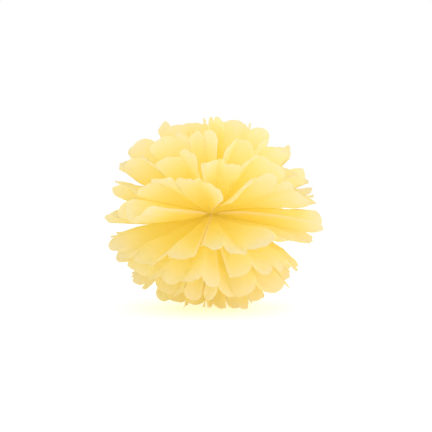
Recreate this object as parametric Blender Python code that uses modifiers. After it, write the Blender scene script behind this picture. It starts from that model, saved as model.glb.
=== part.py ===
"""Tissue paper pom pom: nine pleated sheets tied in the middle, fanned out and pulled apart into a ball.

Every sheet starts flat: a rectangle with straight folds running along its length and a round petal end on
each panel. It is folded like an accordion, gathered in the tie, fanned out to both sides and lifted or
lowered to its own elevation. The origin is the middle of the tie, +Z runs up through the stack of sheets,
and the folds leave the tie along +X and -X. Lengths are in metres, angles in degrees.
"""
import math

import bmesh
import bpy
from mathutils import Vector, noise

# The flat sheet: half of a 500 x 700 mm sheet, folded into panels along its 350 mm side
SHEET_LENGTH = 0.350
SHEET_WIDTH = 0.500
PANELS = 12
PETAL_ROUNDING = 0.019
PAPER = 0.0003

# The gather: all sheets squeezed into one flat bundle under the wire
BUNDLE_WIDTH = 0.018
SHEET_PITCH = 0.0014
GATHER_DEPTH = 0.00045
GATHER_RUN = 0.0022
GATHER_FLARE = 0.006

# The wire around the gather, with its ends twisted together behind
WIRE_DIAMETER = 0.0012
WIRE_CLEARANCE = 0.0003
TWIST_LENGTH = 0.014
TWIST_TURNS = 2.5

# How the paper opens on its way out of the gather; a fold keeps at least a share of its panel as depth
LEAST_DEPTH = 0.18
RISE_RUN = 0.008
OPENING_RUN = 0.060
SWING_RUN = 0.040
BOW = 0.20
BOW_RUN = 0.040
CROWN_SQUASH = 0.10
SIDE_DROP = 0.22
GATHER_FAN = 89.0
FAN_RUN = 0.010
FRONT_TILT = -0.1

# The soft underside gives way and spreads where the ball rests
REST_START = 0.147
REST_GIVE = 0.3
REST_SPREAD = 0.7

# How uneven the fluffed paper is
SWAY = 5.5
SWAY_WAVES = 1.7
TURN_STRAY = 3.5
LIFT_STRAY = 3.4
LENGTH_STRAY = 0.009
CUP = 0.004
TIP_CURL = 0.011
TIP_START = 0.72

# Mesh divisions
ROWS = 7
ROW_SPREAD = 1.8
CUPPED_ROWS = 3
PETAL_CUTS = 1
TWIST_STEPS = 12
CORNER_STEPS = 3

# Each sheet from the lowest to the highest: elevation of its petals, the swing of its folds above and
# below that at the tie and at the rim, how far its first panel stands on edge, the azimuths of its first
# and last fold on the left and on the right, counted from -X and +X away from the front, and how loose
# its petals are on the left and on the right
SHEETS = (
    ("lower_sheet_4", -77.0, 6.0, 8.5, 0.0, (-98.0, 80.0), (-80.0, 98.0), 1.0, 1.0),
    ("lower_sheet_3", -50.0, 4.5, 6.5, 0.0, (-79.0, 96.0), (-98.0, 77.0), 1.0, 1.0),
    ("lower_sheet_2", -31.0, 3.5, 5.5, 0.0, (-98.0, 76.0), (-79.0, 95.0), 0.6, 1.0),
    ("lower_sheet_1", -15.0, 3.5, 4.5, 0.0, (-78.0, 93.0), (-98.0, 73.0), 0.4, 0.5),
    ("middle_sheet", 0.5, 17.0, 7.5, 0.95, (-58.0, 92.0), (-17.0, 76.0), 0.4, 0.8),
    ("upper_sheet_1", 18.0, 3.5, 4.5, 0.0, (-98.0, 73.0), (-78.0, 93.0), 0.4, 1.0),
    ("upper_sheet_2", 34.0, 3.5, 5.5, 0.0, (-79.0, 95.0), (-98.0, 76.0), 1.0, 1.0),
    ("upper_sheet_3", 52.0, 4.5, 6.5, 0.0, (-98.0, 77.0), (-79.0, 96.0), 1.0, 1.0),
    ("upper_sheet_4", 77.0, 6.0, 8.5, 0.0, (-80.0, 98.0), (-98.0, 80.0), 1.0, 1.0),
)

# Single folds pulled up or down on the left (-1) or right (1), in degrees from the first fold on
PULLS = {
    ("lower_sheet_3", -1): (-3.0, -4.0, -4.0, -3.0, -1.0),
    ("lower_sheet_2", -1): (-5.0, -8.0, -10.0, -10.0, -8.0, -4.0, -1.0),
    ("lower_sheet_1", -1): (-10.0, -12.0, -13.0, -12.0, -7.0, -3.0, -2.5, -2.0, -1.0),
    ("lower_sheet_1", 1): (0.0, 0.0, 1.0, 1.5, 2.0, 2.0, 2.0, 2.0, 1.5, 1.0),
    ("middle_sheet", -1): (3.0, 3.0, 4.0, 1.0, -2.5, -4.5, -5.0, -4.5, -4.0, -3.0, -2.0, -1.0),
}

PANEL = SHEET_WIDTH / PANELS
HALF_LENGTH = SHEET_LENGTH / 2
REACH = HALF_LENGTH - GATHER_RUN


def eased(value):
    """Smooth step from 0 to 1 while value runs from 0 to 1."""
    value = min(max(value, 0.0), 1.0)
    return value * value * (3 - 2 * value)


def stray(*place):
    """Even noise between about -1 and 1 at a place given by up to three numbers."""
    return noise.noise(Vector((*place, 0.37, 0.61, 0.13)[:3])) * 1.6


def collection_named(name):
    collection = bpy.data.collections.new(name)
    bpy.context.scene.collection.children.link(collection)
    return collection


def plain_material(name, colour, roughness, metallic):
    material = bpy.data.materials.new(name)
    material.use_nodes = True
    shader = material.node_tree.nodes["Principled BSDF"]
    shader.inputs["Base Color"].default_value = (*colour, 1.0)
    shader.inputs["Roughness"].default_value = roughness
    shader.inputs["Metallic"].default_value = metallic
    material.diffuse_color = (*colour, 1.0)
    return material


def fold_point(index, sheet, side, fold, run):
    """Point on one fold line, a run of paper away from the middle of the tie."""
    name, elevation, swing_near, swing_far, standing, left, right, loose_left, loose_right = sheet
    level = (index - (len(SHEETS) - 1) / 2) * SHEET_PITCH
    across = BUNDLE_WIDTH * (fold / PANELS - 0.5)
    zig = 1 if fold % 2 else -1
    if standing:
        zig = -zig if fold else FRONT_TILT
    front, back = right if side > 0 else left
    spread = back - front
    share = (fold - standing if fold > 1 else fold) / (PANELS - standing)
    fan = front + spread * share
    start = fan if standing else GATHER_FAN * (2 * share - 1)
    leave = GATHER_RUN + GATHER_FLARE * math.cos(math.radians(start))
    reach = run - GATHER_RUN
    if reach <= 0:
        return Vector((side * leave * run / GATHER_RUN, across, level + zig * GATHER_DEPTH))
    opened = eased(reach / REACH)
    leaving = 1 - math.exp(-reach / RISE_RUN)
    fan += (start - fan) * math.exp(-reach / FAN_RUN)
    loose = opened * (loose_right if side > 0 else loose_left)
    azimuth = fan + loose * TURN_STRAY * stray(fold * 1.37, index * 5.1, side * 3.3)
    heading = math.radians(azimuth if side > 0 else 180 - azimuth)
    steep = abs(elevation) * (1 - SIDE_DROP * math.cos(math.radians(fan)) ** 2)
    bowed = 90 * (steep / 90) ** (1 - BOW * math.exp(-reach / BOW_RUN))
    climb = math.copysign(math.radians(bowed), elevation) * leaving
    spacing = BUNDLE_WIDTH / PANELS + reach * math.cos(climb) * math.radians(spread) / PANELS
    depth = math.sqrt(max(PANEL ** 2 - spacing ** 2, (LEAST_DEPTH * PANEL) ** 2)) / 2
    if standing and fold <= 2:
        depth = PANEL / 2
    depth *= 1 - math.exp(-reach / OPENING_RUN)
    swing = swing_far + (swing_near - swing_far) * math.exp(-reach / SWING_RUN)
    lift = min(math.atan2(depth, reach), math.radians(swing)) * leaving
    sway = SWAY * stray(SWAY_WAVES * math.cos(heading), SWAY_WAVES * math.sin(heading), elevation * 0.004)
    sway *= math.cos(climb) * opened
    sway += LIFT_STRAY * stray(fold * 2.11, index * 3.7, side * 1.9) * loose
    pulls = PULLS.get((name, side), ())
    pull = pulls[fold] if fold < len(pulls) else 0.0
    climb += zig * lift + math.radians(sway + pull * (1 - math.exp(-reach / OPENING_RUN)))
    reach *= 1 - CROWN_SQUASH * math.sin(climb) ** 2
    flat = reach * math.cos(climb)
    height = level + zig * GATHER_DEPTH * math.exp(-reach / RISE_RUN) + reach * math.sin(climb)
    pressed = max(-REST_START - height, 0.0) * (1 - REST_GIVE)
    height += pressed
    flat += pressed * REST_SPREAD
    return Vector((
        side * leave + flat * math.cos(heading),
        across + flat * math.sin(heading),
        height,
    ))


def creased_point(index, sheet, side, across, run):
    """Point on the sheet while its panels are straight between their folds, and the way to the next fold."""
    fold = min(int(across), PANELS - 1)
    near = fold_point(index, sheet, side, fold, run)
    far = fold_point(index, sheet, side, fold + 1, run)
    return near.lerp(far, across - fold), far - near


def petal_point(index, sheet, side, across, run, end):
    """Point on the opened sheet, with each panel cupped and curled at its tip; across is counted in panels."""
    fold = min(int(across), PANELS - 1)
    place, width = creased_point(index, sheet, side, across, run)
    bulge = 1 - (2 * (across - fold) - 1) ** 2
    opened = eased((run - GATHER_RUN) / REACH)
    if bulge < 1e-6 or opened <= 0:
        return place
    ahead = creased_point(index, sheet, side, across, run + 0.004)[0]
    tip = max(run / end - TIP_START, 0.0) / (1 - TIP_START)
    push = CUP * (0.55 + stray(fold * 3.1 + 0.5, index * 2.7, side * 5.3)) * bulge * opened
    push += TIP_CURL * stray(fold * 1.9, index * 4.3, side * 2.2) * bulge * tip ** 2
    return place + push * (sheet[8] if side > 0 else sheet[7]) * width.cross(ahead - place).normalized()


def petal_run(index, side, across):
    """Run of paper from the tie to the trimmed end, which is round on every panel."""
    panel = min(int(across), PANELS - 1)
    share = 2 * (across - panel) - 1
    length = HALF_LENGTH + LENGTH_STRAY * stray(panel * 2.3, index * 1.9, side * 4.7)
    return length - PETAL_ROUNDING * (1 - math.sqrt(max(1 - share * share, 0.0)))


def folded_sheet(index, sheet, collection, material):
    """One sheet: a flat grid with round ends cut in its outline, then every vertex laid in its fold."""
    mesh = bmesh.new()
    cells = 2 * ROWS - 1
    bmesh.ops.create_grid(mesh, x_segments=cells, y_segments=PANELS, size=1.0)
    # The outer rows get a middle line in every panel, which cups it, and the trimmed end gets more for its round
    for least, cuts in ((1 - 2 * (CUPPED_ROWS - 0.5) / cells, 1), (0.999, PETAL_CUTS)):
        rows = [e for e in mesh.edges if abs(e.verts[0].co.x - e.verts[1].co.x) < 1e-5]
        outer = [e for e in rows if abs(e.verts[0].co.x) > least]
        bmesh.ops.subdivide_edges(mesh, edges=outer, cuts=cuts)
    for vertex in mesh.verts:
        side = -1 if vertex.co.x < 0 else 1
        step = round((abs(vertex.co.x) * cells + 1) / 2)
        across = round((vertex.co.y + 1) / 2 * PANELS, 4)
        end = petal_run(index, side, across)
        run = GATHER_RUN + (end - GATHER_RUN) * ((step - 1) / (ROWS - 1)) ** ROW_SPREAD
        vertex.co = petal_point(index, sheet, side, across, run, end)
    # Both sides of the paper get the same triangles, so they stay a paper's thickness apart
    bmesh.ops.triangulate(mesh, faces=mesh.faces)
    data = bpy.data.meshes.new(sheet[0])
    mesh.to_mesh(data)
    mesh.free()
    data.materials.append(material)
    paper = bpy.data.objects.new(sheet[0], data)
    collection.objects.link(paper)
    solid = paper.modifiers.new("Paper", "SOLIDIFY")
    solid.thickness = PAPER
    solid.offset = 0
    return paper


def tie_path():
    """Middle line of the wire: one twisted tail, once around the bundle, and the other tail."""
    radius = WIRE_DIAMETER / 2
    stand = PAPER / 2 + WIRE_CLEARANCE + radius
    strand = radius + WIRE_CLEARANCE / 2
    half_width = BUNDLE_WIDTH / 2
    half_height = (len(SHEETS) - 1) / 2 * SHEET_PITCH + GATHER_DEPTH
    neck = half_width + stand + 2 * strand
    tail = []
    for step in range(TWIST_STEPS + 1):
        along = step / TWIST_STEPS
        angle = 2 * math.pi * TWIST_TURNS * along
        tail.append((strand * math.sin(angle), neck + TWIST_LENGTH * along, strand * math.cos(angle)))
    other_tail = [(-x, y, -z) for x, y, z in tail]
    loop = [(0.0, half_width + stand, 3 * strand)]
    for corner in range(4):
        y = half_width if corner in (0, 3) else -half_width
        z = half_height if corner < 2 else -half_height
        for step in range(CORNER_STEPS + 1):
            angle = math.pi / 2 * (corner + step / CORNER_STEPS)
            loop.append((0.0, y + stand * math.cos(angle), z + stand * math.sin(angle)))
    loop.append((0.0, half_width + stand, -3 * strand))
    return tail[::-1] + loop + other_tail


def wire_tie(collection, material):
    """The wire as one tube of its own diameter."""
    curve = bpy.data.curves.new("tie_wire", "CURVE")
    curve.dimensions = "3D"
    curve.bevel_depth = WIRE_DIAMETER / 2
    curve.bevel_resolution = 1
    curve.use_fill_caps = True
    points = tie_path()
    spline = curve.splines.new("POLY")
    spline.points.add(len(points) - 1)
    for point, place in zip(spline.points, points):
        point.co = (*place, 1.0)
    curve.materials.append(material)
    wire = bpy.data.objects.new("tie_wire", curve)
    collection.objects.link(wire)
    return wire


def main():
    for thing in list(bpy.data.objects):
        bpy.data.objects.remove(thing, do_unlink=True)
    collection = collection_named("Tissue paper pom pom")
    tissue = plain_material("Yellow tissue paper", (0.955, 0.70, 0.185), 0.85, 0.0)
    wire = plain_material("Florist's wire", (0.42, 0.40, 0.37), 0.45, 1.0)
    for index, sheet in enumerate(SHEETS):
        folded_sheet(index, sheet, collection, tissue)
    wire_tie(collection, wire)


main()
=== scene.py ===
import math
from collections import namedtuple

import bpy
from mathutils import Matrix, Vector, noise


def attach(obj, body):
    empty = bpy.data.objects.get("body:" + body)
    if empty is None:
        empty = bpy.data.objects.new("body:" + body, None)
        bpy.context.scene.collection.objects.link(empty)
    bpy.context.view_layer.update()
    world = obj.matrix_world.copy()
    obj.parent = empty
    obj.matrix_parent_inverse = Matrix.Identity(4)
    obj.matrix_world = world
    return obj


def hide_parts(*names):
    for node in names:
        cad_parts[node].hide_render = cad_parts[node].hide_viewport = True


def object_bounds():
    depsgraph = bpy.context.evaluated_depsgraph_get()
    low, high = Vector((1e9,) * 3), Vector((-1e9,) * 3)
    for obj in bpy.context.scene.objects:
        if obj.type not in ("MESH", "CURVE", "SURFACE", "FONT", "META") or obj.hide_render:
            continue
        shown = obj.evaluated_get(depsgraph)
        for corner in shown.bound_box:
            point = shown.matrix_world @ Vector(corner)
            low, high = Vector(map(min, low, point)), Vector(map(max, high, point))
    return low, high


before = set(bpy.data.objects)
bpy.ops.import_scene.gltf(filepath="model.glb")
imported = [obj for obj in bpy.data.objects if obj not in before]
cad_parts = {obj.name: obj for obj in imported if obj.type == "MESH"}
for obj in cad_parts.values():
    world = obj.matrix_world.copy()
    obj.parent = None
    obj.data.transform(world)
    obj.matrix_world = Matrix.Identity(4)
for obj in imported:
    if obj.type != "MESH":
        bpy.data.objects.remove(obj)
bpy.ops.object.select_all(action="DESELECT")
cad_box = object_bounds()

# The flat sheet and its gather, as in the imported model, in metres
SHEET_LENGTH = 0.350
SHEET_WIDTH = 0.500
PANELS = 12
PETAL_ROUNDING = 0.019
BUNDLE_WIDTH = 0.018
SHEET_PITCH = 0.0014
GATHER_DEPTH = 0.00045
GATHER_RUN = 0.0022
GATHER_FLARE = 0.006

# How the paper opens on its way out of the gather
LEAST_DEPTH = 0.18
RISE_RUN = 0.008
OPENING_RUN = 0.060
SWING_RUN = 0.040
BOW = 0.20
BOW_RUN = 0.040
CROWN_SQUASH = 0.10
SIDE_DROP = 0.22
GATHER_FAN = 89.0
FAN_RUN = 0.010
FRONT_TILT = -0.1
REST_START = 0.147
REST_GIVE = 0.3
REST_SPREAD = 0.7

# The two halves of a sheet close up just outside the wire
CLOSING_START = 0.0015
CLOSING_RUN = 0.004

# How uneven the fluffed paper is
NOISE_GAIN = 1.6
SWAY = 5.5
SWAY_WAVES = 1.7
SWAY_BY_SHEET = 0.004
TURN_STRAY = 3.5
LIFT_STRAY = 3.4
LENGTH_STRAY = 0.009

# The soft forms of a petal; the waves are for each panel across and each metre along
CREASE_ROUNDING = 0.03
CUP = 0.004
CUP_BIAS = 0.55
TIP_START = 0.72
TIP_CURL = 0.011
FLUTTER = 0.0018
FLUTTER_WAVES = (2.3, 28)
FRILL = 0.0028
FRILL_WAVES = (4.1, 22)
CRUMPLE = 0.0008
CRUMPLE_WAVES = (6.0, 60)
SLOPE_STEP = 0.004

# The middle sheet's front edge is turned up, and along the free edges of all sheets the paper is painted as
# pale as at the cut ends: painted light
HEM_SHARE = 0.35
HEM_RUN = 0.02
HEM_TURN = Vector((0.0, -0.006, 0.008))
PAINTED_EDGE_SHARE = 0.40
PAINTED_EDGE_LIGHT = 1.25

# Mesh divisions
PETAL_COLUMNS = 10
ROWS = 26
ROW_SPREAD = 1.5
STREAK_WAVES = 12

# Tissue: the colours of its face from the gather to the cut ends, its yellow with painted shade at the
# gather and painted light at the ends; of its glow, which is painted light; and the light through it
TISSUE_YELLOW_SHADE_TO_LIGHT = (
    (0.0, (0.995, 0.865, 0.26, 1.0)),
    (0.55, (0.995, 0.88, 0.40, 1.0)),
    (1.0, (0.995, 0.895, 0.80, 1.0)),
)
# The glow colours are painted light, strongest at the gather
TISSUE_PAINTED_GLOW = (
    (0.0, (1.0, 0.90, 0.22, 1.0)),
    (0.5, (0.5, 0.44, 0.09, 1.0)),
    (1.0, (0.45, 0.38, 0.26, 1.0)),
)
PAINTED_GLOW_STRENGTH = 0.28
THROUGH_COLOUR = (0.99, 0.92, 0.43, 1.0)
THROUGH_MOST = 0.88
THROUGH_LOSS = 0.38

# The wire's colours across its turns: yellow, darker where the turns dip, painted shade in the grooves
WIRE_YELLOW_AND_GROOVE_SHADE = (
    (0.0, (0.80, 0.62, 0.20, 1.0)),
    (1.0, (0.95, 0.80, 0.34, 1.0)),
)

# Studio and camera
WHITE = (1.0, 1.0, 1.0, 1.0)
SURROUND_LIGHT = 0.78
FLOOR_SIZE = 12
FLOOR_GAP = 0.0005
FLOOR_COLOUR = (0.95, 0.95, 0.95, 1.0)
FLOOR_GLOW = 0.45
CAMERA_LENS = 85
CAMERA_SENSOR = 36
CAMERA_RISE = 3.0
CAMERA_SIDE = 0.0075
CAMERA_DROP = 0.003
FRAME_WIDTH = 0.724

# left and right hold the azimuths of the first and the last fold, in degrees from straight sideways
Sheet = namedtuple("Sheet", "name elevation swing_near swing_far standing left right loose_left loose_right")
SHEETS = (
    Sheet("lower_sheet_4", -77.0, 6.0, 8.5, 0.0, (-98.0, 80.0), (-80.0, 98.0), 1.0, 1.0),
    Sheet("lower_sheet_3", -50.0, 4.5, 6.5, 0.0, (-79.0, 96.0), (-98.0, 77.0), 1.0, 1.0),
    Sheet("lower_sheet_2", -31.0, 3.5, 5.5, 0.0, (-98.0, 76.0), (-79.0, 95.0), 0.6, 1.0),
    Sheet("lower_sheet_1", -15.0, 3.5, 4.5, 0.0, (-78.0, 93.0), (-98.0, 73.0), 0.4, 0.5),
    Sheet("middle_sheet", 0.5, 17.0, 7.5, 0.95, (-58.0, 92.0), (-17.0, 76.0), 0.4, 0.8),
    Sheet("upper_sheet_1", 18.0, 3.5, 4.5, 0.0, (-98.0, 73.0), (-78.0, 93.0), 0.4, 1.0),
    Sheet("upper_sheet_2", 34.0, 3.5, 5.5, 0.0, (-79.0, 95.0), (-98.0, 76.0), 1.0, 1.0),
    Sheet("upper_sheet_3", 52.0, 4.5, 6.5, 0.0, (-98.0, 77.0), (-79.0, 96.0), 1.0, 1.0),
    Sheet("upper_sheet_4", 77.0, 6.0, 8.5, 0.0, (-80.0, 98.0), (-98.0, 80.0), 1.0, 1.0),
)

# Single folds pulled up or down on the left (-1) or right (1), in degrees from the first fold on
PULLS = {
    ("lower_sheet_3", -1): (-3.0, -4.0, -4.0, -3.0, -1.0),
    ("lower_sheet_2", -1): (-5.0, -8.0, -10.0, -10.0, -8.0, -4.0, -1.0),
    ("lower_sheet_1", -1): (-10.0, -12.0, -13.0, -12.0, -7.0, -3.0, -2.5, -2.0, -1.0),
    ("lower_sheet_1", 1): (0.0, 0.0, 1.0, 1.5, 2.0, 2.0, 2.0, 2.0, 1.5, 1.0),
    ("middle_sheet", -1): (3.0, 3.0, 4.0, 1.0, -2.5, -4.5, -5.0, -4.5, -4.0, -3.0, -2.0, -1.0),
}

PANEL = SHEET_WIDTH / PANELS
HALF_LENGTH = SHEET_LENGTH / 2
REACH = HALF_LENGTH - GATHER_RUN


class Socket:
    """A shader value that can be used in plain Python sums."""

    def __init__(self, tree, socket):
        self.tree = tree
        self.socket = socket

    def node(self, kind, settings=None, **values):
        """Any node: its settings first, then the values or links of its sockets, by name or number."""
        made = self.tree.nodes.new(kind)
        for key, value in (settings or {}).items():
            if key == "stops":
                ramp = made.color_ramp
                while len(ramp.elements) < len(value):
                    ramp.elements.new(1.0)
                for stop, (place, colour) in zip(ramp.elements, value):
                    stop.position = place
                    stop.color = colour
            else:
                setattr(made, key, value)
        for key, value in values.items():
            entry = made.inputs[int(key[1:])] if key[0] == "_" else made.inputs[key.replace("_", " ")]
            if isinstance(value, Socket):
                self.tree.links.new(value.socket, entry)
            else:
                entry.default_value = value
        return made

    def of(self, kind, settings=None, out=0, **values):
        """The same, but gives one output of the node, by name or number."""
        made = self.node(kind, settings, **values)
        return Socket(self.tree, made.outputs[out])

    def maths(self, operation, first, second):
        return self.of("ShaderNodeMath", {"operation": operation}, _0=first, _1=second)

    def __add__(self, other):
        return self.maths("ADD", self, other)

    def __radd__(self, other):
        return self.maths("ADD", other, self)

    def __sub__(self, other):
        return self.maths("SUBTRACT", self, other)

    def __rsub__(self, other):
        return self.maths("SUBTRACT", other, self)

    def __mul__(self, other):
        return self.maths("MULTIPLY", self, other)

    def __rmul__(self, other):
        return self.maths("MULTIPLY", other, self)

    def clamped(self):
        return self.of("ShaderNodeClamp", Value=self)


def empty_tree(owner):
    """The emptied node tree of a material or world, as a socket to build from."""
    owner.use_nodes = True
    owner.node_tree.nodes.clear()
    return Socket(owner.node_tree, None)


def eased(value):
    """Smooth step from 0 to 1 while value runs from 0 to 1."""
    value = min(max(value, 0.0), 1.0)
    return value * value * (3 - 2 * value)


def stray(*place):
    """Even noise between about -1 and 1 at a place given by three numbers."""
    return noise.noise(Vector(place)) * NOISE_GAIN


def fold_point(index, sheet, side, fold, run):
    """Point on one fold line, a run of paper away from the middle of the tie."""
    level = (index - (len(SHEETS) - 1) / 2) * SHEET_PITCH
    across = BUNDLE_WIDTH * (fold / PANELS - 0.5)
    zig = 1 if fold % 2 else -1
    if sheet.standing:
        zig = -zig if fold else FRONT_TILT
    front, back = sheet.right if side > 0 else sheet.left
    spread = back - front
    share = (fold - sheet.standing if fold > 1 else fold) / (PANELS - sheet.standing)
    fan = front + spread * share
    start = fan if sheet.standing else GATHER_FAN * (2 * share - 1)
    leave = GATHER_RUN + GATHER_FLARE * math.cos(math.radians(start))
    reach = run - GATHER_RUN
    if reach <= 0:
        return Vector((side * leave * run / GATHER_RUN, across, level + zig * GATHER_DEPTH))
    opened = eased(reach / REACH)
    leave -= GATHER_RUN * (1 - math.exp(-max(reach - CLOSING_START, 0.0) / CLOSING_RUN))
    leaving = 1 - math.exp(-reach / RISE_RUN)
    fan += (start - fan) * math.exp(-reach / FAN_RUN)
    loose = opened * (sheet.loose_right if side > 0 else sheet.loose_left)
    azimuth = fan + loose * TURN_STRAY * stray(fold * 1.37, index * 5.1, side * 3.3)
    heading = math.radians(azimuth if side > 0 else 180 - azimuth)

    # The slope of the fold line, flatter at the sides and bowed near the tie
    steep = abs(sheet.elevation) * (1 - SIDE_DROP * math.cos(math.radians(fan)) ** 2)
    bowed = 90 * (steep / 90) ** (1 - BOW * math.exp(-reach / BOW_RUN))
    climb = math.copysign(math.radians(bowed), sheet.elevation) * leaving

    # The zigzag takes what the fan leaves of the panel's width
    spacing = BUNDLE_WIDTH / PANELS + reach * math.cos(climb) * math.radians(spread) / PANELS
    depth = math.sqrt(max(PANEL ** 2 - spacing ** 2, (LEAST_DEPTH * PANEL) ** 2)) / 2
    if sheet.standing and fold <= 2:
        depth = PANEL / 2
    depth *= 1 - math.exp(-reach / OPENING_RUN)
    swing = sheet.swing_far + (sheet.swing_near - sheet.swing_far) * math.exp(-reach / SWING_RUN)
    lift = min(math.atan2(depth, reach), math.radians(swing)) * leaving

    # Uneven fluffing, and the folds that are pulled by hand
    waves = SWAY_WAVES * math.cos(heading), SWAY_WAVES * math.sin(heading)
    sway = SWAY * stray(*waves, sheet.elevation * SWAY_BY_SHEET)
    sway *= math.cos(climb) * opened
    sway += LIFT_STRAY * stray(fold * 2.11, index * 3.7, side * 1.9) * loose
    pulls = PULLS.get((sheet.name, side), ())
    pull = pulls[fold] if fold < len(pulls) else 0.0
    climb += zig * lift + math.radians(sway + pull * (1 - math.exp(-reach / OPENING_RUN)))

    # The crown is squashed a little, and the lowest petals bend where the ball rests
    reach *= 1 - CROWN_SQUASH * math.sin(climb) ** 2
    flat = reach * math.cos(climb)
    height = level + zig * GATHER_DEPTH * math.exp(-reach / RISE_RUN) + reach * math.sin(climb)
    pressed = max(-REST_START - height, 0.0) * (1 - REST_GIVE)
    height += pressed
    flat += pressed * REST_SPREAD
    return Vector((
        side * leave + flat * math.cos(heading),
        across + flat * math.sin(heading),
        height,
    ))


def creased_point(index, sheet, side, across, run):
    """Point on the sheet while its panels are still straight, and the panel's way across there."""
    fold = min(int(across), PANELS - 1)
    near = fold_point(index, sheet, side, fold, run)
    far = fold_point(index, sheet, side, fold + 1, run)
    return near.lerp(far, across - fold), far - near


def pleat_room(index, sheet, side, fold, run):
    """How far the two pleats beside a panel are open, from 0 to 1, so that closed ones don't cross."""
    room = 1.0
    for crease in (fold, fold + 1):
        if 0 < crease < PANELS:
            before = fold_point(index, sheet, side, crease - 1, run)
            after = fold_point(index, sheet, side, crease + 1, run)
            room = min(room, (after - before).length / PANEL)
    return room


def soft_point(index, sheet, side, across, run, end):
    """Point on the fluffed paper: creases rounded, panels cupped, tips curled and edges fluttering."""
    fold = min(int(across), PANELS - 1)
    place, width = creased_point(index, sheet, side, across, run)
    before = creased_point(index, sheet, side, max(across - CREASE_ROUNDING, 0.0), run)[0]
    after = creased_point(index, sheet, side, min(across + CREASE_ROUNDING, PANELS), run)[0]
    place = (before + 2 * place + after) / 4
    opened = eased((run - GATHER_RUN) / REACH)
    if opened <= 0:
        return place
    ahead = creased_point(index, sheet, side, across, run + SLOPE_STEP)[0]
    out = width.cross(ahead - place).normalized()
    bulge = 1 - (2 * (across - fold) - 1) ** 2
    tip = max(run / end - TIP_START, 0.0) / (1 - TIP_START)
    push = CUP * (CUP_BIAS + stray(fold * 3.1 + 0.5, index * 2.7, side * 5.3)) * bulge * opened
    push += TIP_CURL * stray(fold * 1.9, index * 4.3, side * 2.2) * bulge * tip ** 2
    push *= sheet.loose_right if side > 0 else sheet.loose_left
    for amount, waves, by_sheet, share in (
        (FLUTTER, FLUTTER_WAVES, 3.0, opened),
        (FRILL, FRILL_WAVES, 5.0, tip ** 1.5),
        (CRUMPLE, CRUMPLE_WAVES, 2.0, opened),
    ):
        push += amount * stray(across * waves[0], run * waves[1], index * by_sheet + side) * share
    place += push * pleat_room(index, sheet, side, fold, run) * out
    if sheet.standing and across < HEM_SHARE:
        place += HEM_TURN * ((1 - across / HEM_SHARE) * (1 - math.exp((GATHER_RUN - run) / HEM_RUN)))
    return place


def petal_run(index, side, across):
    """Run of paper from the tie to the trimmed end, which is round on every panel."""
    panel = min(int(across), PANELS - 1)
    share = 2 * (across - panel) - 1
    length = HALF_LENGTH + LENGTH_STRAY * stray(panel * 2.3, index * 1.9, side * 4.7)
    return length - PETAL_ROUNDING * (1 - math.sqrt(max(1 - share * share, 0.0)))


def tissue_sheet(index, sheet, material):
    """One fluffed sheet: a flat grid, every vertex laid where the folded and opened paper has it."""
    columns = PANELS * PETAL_COLUMNS
    bpy.ops.mesh.primitive_grid_add(x_subdivisions=2 * ROWS, y_subdivisions=columns, size=2)
    paper = bpy.context.object
    paper.name = paper.data.name = "tissue_" + sheet.name
    # The along attribute carries painted shade and light: low at the gather, high at the cut ends and along
    # the free edges
    painted_shade_and_light = paper.data.attributes.new("along", "FLOAT", "POINT")
    band = paper.data.attributes.new("panel", "FLOAT_VECTOR", "POINT")
    folds = set()
    for number, vertex in enumerate(paper.data.vertices):
        side = -1 if vertex.co.x < -0.5 / ROWS else 1
        step = round(abs(vertex.co.x) * ROWS)
        column = round((vertex.co.y + 1) / 2 * columns)
        if column % PETAL_COLUMNS == 0:
            folds.add(number)
        panel = min(column // PETAL_COLUMNS, PANELS - 1)
        share = (1 - math.cos(math.pi * (column - panel * PETAL_COLUMNS) / PETAL_COLUMNS)) / 2
        across = panel + share
        end = petal_run(index, side, across)
        run = 0.0
        if step:
            run = GATHER_RUN + (end - GATHER_RUN) * ((step - 1) / (ROWS - 1)) ** ROW_SPREAD
        vertex.co = soft_point(index, sheet, side, across, run, end)
        # Near the free edges the paper gets the cut ends' pale colour, painted light
        free_edge = 1 - min(across, PANELS - across) / PAINTED_EDGE_SHARE
        painted_shade_and_light.data[number].value = max(run / HALF_LENGTH, PAINTED_EDGE_LIGHT * free_edge)
        band.data[number].vector = (across, side * run * STREAK_WAVES, index * 3.0)
    bpy.ops.object.shade_smooth()
    for edge in paper.data.edges:
        edge.use_edge_sharp = folds.issuperset(edge.vertices)
    paper.data.materials.append(material)
    paper.select_set(False)
    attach(paper, "root")
    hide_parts(sheet.name)


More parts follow.
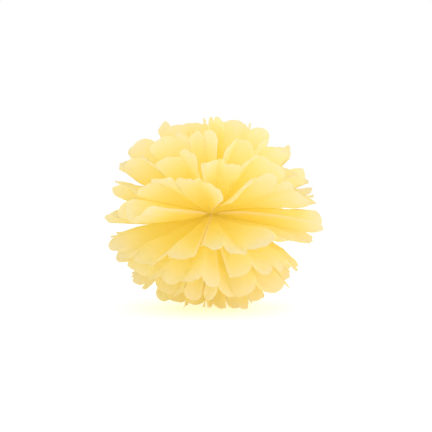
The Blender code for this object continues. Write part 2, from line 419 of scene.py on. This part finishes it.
def tissue_material():
    """Dyed tissue: thin, matt, letting most of its light through, with painted shade at the gather and
    painted light making it paler at the cut edges.

    The faint glow, strongest at the gather, is painted light: it stands for the light of the many passes
    through paper that the renderer leaves out.
    """
    material = bpy.data.materials.new("Yellow tissue")
    start = empty_tree(material)
    along = start.of("ShaderNodeAttribute", {"attribute_name": "along"}, out=2)
    band = start.of("ShaderNodeAttribute", {"attribute_name": "panel"}, out=1)
    place = start.of("ShaderNodeTexCoord", out=3)
    cloud = start.of("ShaderNodeTexNoise", Vector=place, Scale=14.0, Detail=3.0)
    fibre = start.of("ShaderNodeTexNoise", Vector=place, Scale=900.0, Detail=4.0)
    streak = start.of("ShaderNodeTexNoise", Vector=band, Scale=5.0, Detail=5.0)
    # pale runs from painted shade at the gather to painted light at the cut ends and free edges, with random
    # tone from the cloud and streak noise
    pale = (along * 0.9 + (cloud - 0.5) * 0.35 + (streak - 0.5) * 0.30).clamped()
    shade = start.of("ShaderNodeValToRGB", {"stops": TISSUE_YELLOW_SHADE_TO_LIGHT}, Fac=pale)
    painted_glow = start.of("ShaderNodeValToRGB", {"stops": TISSUE_PAINTED_GLOW}, Fac=pale)
    bump = start.of("ShaderNodeBump", Strength=0.4, Distance=0.0012, Height=streak + fibre * 0.2)
    # The emission is painted light, strongest at the gather
    face = start.of(
        "ShaderNodeBsdfPrincipled", Base_Color=shade, Roughness=0.8, Specular_IOR_Level=0.2,
        Normal=bump, Emission_Color=painted_glow, Emission_Strength=PAINTED_GLOW_STRENGTH)
    glow = start.of("ShaderNodeBsdfTranslucent", Color=THROUGH_COLOUR)
    both = start.of("ShaderNodeMixShader", _0=THROUGH_MOST - pale * THROUGH_LOSS, _1=face, _2=glow)
    start.node("ShaderNodeOutputMaterial", Surface=both)
    return material


def wire_material():
    """Florist's wire wound with narrow yellow paper, darker in the grooves between its turns: painted shade.
    """
    material = bpy.data.materials.new("Paper-wrapped wire")
    start = empty_tree(material)
    place = start.of("ShaderNodeTexCoord", out=3)
    turns = start.of(
        "ShaderNodeTexWave", {"bands_direction": "DIAGONAL"}, Vector=place, Scale=140.0, Distortion=1.5)
    fibre = start.of("ShaderNodeTexNoise", Vector=place, Scale=1500.0, Detail=3.0)
    # The colour follows the bump's turns: darker where they dip, painted shade in the grooves
    shade = start.of("ShaderNodeValToRGB", {"stops": WIRE_YELLOW_AND_GROOVE_SHADE}, Fac=turns * 0.7 + fibre * 0.3)
    bump = start.of("ShaderNodeBump", Strength=0.4, Distance=0.0001, Height=turns + fibre * 0.5)
    face = start.of(
        "ShaderNodeBsdfPrincipled", Base_Color=shade, Roughness=0.7 + fibre * 0.2, Normal=bump)
    start.node("ShaderNodeOutputMaterial", Surface=face)
    return material


def paper_floor(height):
    """The pale floor: white to the camera, but still holding the ball's soft shadow."""
    bpy.ops.mesh.primitive_plane_add(size=FLOOR_SIZE, location=(0, 0, height))
    floor = bpy.context.object
    floor.name = floor.data.name = "floor"
    bpy.ops.object.transform_apply()
    material = bpy.data.materials.new("Pale floor")
    start = empty_tree(material)
    matt = start.of("ShaderNodeBsdfDiffuse", Color=FLOOR_COLOUR)
    glow = start.of("ShaderNodeEmission", Color=WHITE, Strength=FLOOR_GLOW)
    lit = start.of("ShaderNodeAddShader", _0=matt, _1=glow)
    seen = start.of("ShaderNodeLightPath", out="Is Camera Ray")
    both = start.of("ShaderNodeMixShader", _0=seen, _1=matt, _2=lit)
    start.node("ShaderNodeOutputMaterial", Surface=both)
    floor.data.materials.append(material)
    floor.select_set(False)


def white_surroundings():
    """Soft white light from all round, and a white background for the camera and reflections."""
    world = bpy.data.worlds.new("Studio")
    bpy.context.scene.world = world
    start = empty_tree(world)
    rays = start.node("ShaderNodeLightPath").outputs
    seen, mirrored, through = (
        Socket(start.tree, rays[name]) for name in ("Is Camera Ray", "Is Glossy Ray", "Is Transmission Ray"))
    white = (seen + mirrored + through).clamped()
    light = start.of("ShaderNodeBackground", Color=WHITE, Strength=SURROUND_LIGHT)
    backdrop = start.of("ShaderNodeBackground", Color=WHITE, Strength=1.0)
    both = start.of("ShaderNodeMixShader", _0=white, _1=light, _2=backdrop)
    start.node("ShaderNodeOutputWorld", Surface=both)


def area_lamp(name, place, size, power, colour):
    """A square lamp at a place, turned to the middle of the ball."""
    lamp = bpy.data.lights.new(name, "AREA")
    lamp.size = size
    lamp.energy = power
    lamp.color = colour
    holder = bpy.data.objects.new(name, lamp)
    holder.location = place
    holder.rotation_euler = Vector(place).to_track_quat("Z", "Y").to_euler()
    bpy.context.scene.collection.objects.link(holder)


def photo_camera():
    """The photograph's view: straight at the seam, from a little above the middle."""
    sight = bpy.data.cameras.new("camera")
    sight.lens = CAMERA_LENS
    holder = bpy.data.objects.new("camera", sight)
    tilt = math.radians(CAMERA_RISE)
    distance = CAMERA_LENS / CAMERA_SENSOR * FRAME_WIDTH
    holder.location = (CAMERA_SIDE, -distance * math.cos(tilt), distance * math.sin(tilt) - CAMERA_DROP)
    holder.rotation_euler = (math.pi / 2 - tilt, 0, 0)
    bpy.context.scene.collection.objects.link(holder)
    bpy.context.scene.camera = holder


tissue = tissue_material()
for index, sheet in enumerate(SHEETS):
    tissue_sheet(index, sheet, tissue)
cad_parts["tie_wire"].material_slots[0].material = wire_material()

paper_floor(cad_box[0][2] - FLOOR_GAP)
white_surroundings()
area_lamp("front_low", (0.2, -1.9, -0.13), 1.4, 7, (1.0, 0.98, 1.0))
area_lamp("right_low", (1.4, -0.7, -0.08), 1.2, 9, (0.90, 0.72, 1.0))
photo_camera()
bpy.context.scene.view_settings.view_transform = "Standard"
